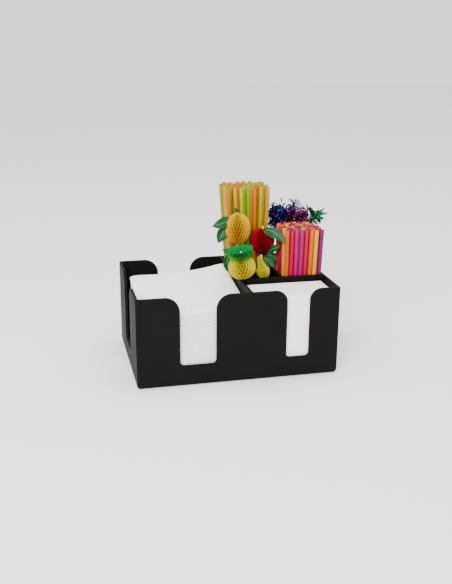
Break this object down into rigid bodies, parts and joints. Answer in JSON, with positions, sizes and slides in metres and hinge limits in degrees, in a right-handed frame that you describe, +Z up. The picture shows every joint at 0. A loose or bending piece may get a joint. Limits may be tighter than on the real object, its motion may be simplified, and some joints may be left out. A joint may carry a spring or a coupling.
{
  "type": "napkin dispenser",
  "caption": "Low moulded bar caddy with finger slots, stocked with flat and standing napkins, drinking straws, tissue fruit picks and tinsel picks.",
  "frame": {"origin": "centre of the caddy's flat underside", "axes": "+Z up, +X along the caddy's length to the user's right, -Y towards the user and the finger slots"},
  "size_m": [0.2632, 0.168, 0.207],
  "materials": {
    "moulded_black": "fine matt moulded texture, slightly warm black",
    "napkin_white": "soft white embossed tissue",
    "tissue_orange": "honeycomb tissue, yellow orange",
    "tissue_red": "honeycomb tissue, dark crimson",
    "tissue_yellow": "honeycomb tissue, lemon yellow",
    "tissue_green": "honeycomb tissue, green running to yellow",
    "pear_card": "honeycomb tissue, yellow green",
    "leaf_card": "printed card, dark green with light veins",
    "stick_wood": "pale sanded wood",
    "straw_orange": "thin translucent tube",
    "straw_lime": "thin translucent tube",
    "straw_peach": "thin translucent tube",
    "straw_green": "thin translucent tube",
    "straw_magenta": "thin translucent tube",
    "straw_pink": "thin translucent tube",
    "straw_yellow": "thin translucent tube",
    "straw_purple": "thin translucent tube",
    "foil_blue": "cut metallised film",
    "foil_purple": "cut metallised film",
    "foil_magenta": "cut metallised film",
    "foil_silver": "cut metallised film",
    "foil_green": "cut metallised film"
  },
  "bodies": {
    "caddy": {"caddy_body": "moulded_black", "large_napkins": "napkin_white", "small_napkins": "napkin_white"},
    "top_napkin": {"top_napkin": "napkin_white"},
    "front_napkin": {"front_napkin": "napkin_white"},
    "long_straws": {"long_straws_orange": "straw_orange", "long_straws_lime": "straw_lime", "long_straws_peach": "straw_peach", "long_straws_green": "straw_green"},
    "short_straws": {"short_straws_magenta": "straw_magenta", "short_straws_pink": "straw_pink", "short_straws_orange": "straw_orange", "short_straws_yellow": "straw_yellow", "short_straws_purple": "straw_purple"},
    "orange_pick": {"orange_stick": "stick_wood", "orange_fruit": "tissue_orange", "orange_leaves": "leaf_card"},
    "strawberry_pick": {"strawberry_stick": "stick_wood", "strawberry_fruit": "tissue_red", "strawberry_leaves": "leaf_card"},
    "pineapple_pick": {"pineapple_stick": "stick_wood", "pineapple_fruit": "tissue_yellow", "pineapple_crown": "tissue_green", "pineapple_leaf": "leaf_card"},
    "pear_pick": {"pear_stick": "stick_wood", "pear_fruit": "pear_card", "pear_leaf": "leaf_card"},
    "blue_tinsel_pick": {"blue_tinsel_stick": "stick_wood", "blue_tinsel_tuft": "foil_blue"},
    "purple_tinsel_pick": {"purple_tinsel_stick": "stick_wood", "purple_tinsel_tuft": "foil_purple"},
    "magenta_tinsel_pick": {"magenta_tinsel_stick": "stick_wood", "magenta_tinsel_tuft": "foil_magenta"},
    "silver_tinsel_pick": {"silver_tinsel_stick": "stick_wood", "silver_tinsel_tuft": "foil_silver"},
    "green_tinsel_pick": {"green_tinsel_stick": "stick_wood", "green_tinsel_tuft": "foil_green"}
  },
  "joints": [
    {"name": "top_napkin_peel", "type": "hinge", "parent": "caddy", "child": "top_napkin", "pos_m": [0.0104, -0.0795, 0.1075], "axis": [0, 1, 0], "range_deg": [0, 40]},
    {"name": "front_napkin_lift", "type": "slide", "parent": "caddy", "child": "front_napkin", "axis": [0, 0, 1], "range_m": [0, 0.115]},
    {"name": "long_straws_lift", "type": "slide", "parent": "caddy", "child": "long_straws", "axis": [0, 0, 1], "range_m": [0, 0.115]},
    {"name": "short_straws_lift", "type": "slide", "parent": "caddy", "child": "short_straws", "axis": [0, 0, 1], "range_m": [0, 0.115]},
    {"name": "orange_pick_pull", "type": "slide", "parent": "caddy", "child": "orange_pick", "axis": [-0.0338, -0.0375, 0.9987], "range_m": [0, 0.12]},
    {"name": "strawberry_pick_pull", "type": "slide", "parent": "caddy", "child": "strawberry_pick", "axis": [-0.0035, -0.0426, 0.9991], "range_m": [0, 0.12]},
    {"name": "pineapple_pick_pull", "type": "slide", "parent": "caddy", "child": "pineapple_pick", "axis": [-0.1603, -0.365, 0.9171], "range_m": [0, 0.12]},
    {"name": "pear_pick_pull", "type": "slide", "parent": "caddy", "child": "pear_pick", "axis": [-0.1004, -0.0724, 0.9923], "range_m": [0, 0.12]},
    {"name": "blue_tinsel_pull", "type": "slide", "parent": "caddy", "child": "blue_tinsel_pick", "axis": [-0.0148, -0.0059, 0.9999], "range_m": [0, 0.12]},
    {"name": "purple_tinsel_pull", "type": "slide", "parent": "caddy", "child": "purple_tinsel_pick", "axis": [0.0445, -0.0278, 0.9986], "range_m": [0, 0.12]},
    {"name": "magenta_tinsel_pull", "type": "slide", "parent": "caddy", "child": "magenta_tinsel_pick", "axis": [0.035, -0.0188, 0.9992], "range_m": [0, 0.12]},
    {"name": "silver_tinsel_pull", "type": "slide", "parent": "caddy", "child": "silver_tinsel_pick", "axis": [0.0282, 0.0088, 0.9996], "range_m": [0, 0.12]},
    {"name": "green_tinsel_pull", "type": "slide", "parent": "caddy", "child": "green_tinsel_pick", "axis": [0.2617, -0.0089, 0.9651], "range_m": [0, 0.12]}
  ]
}
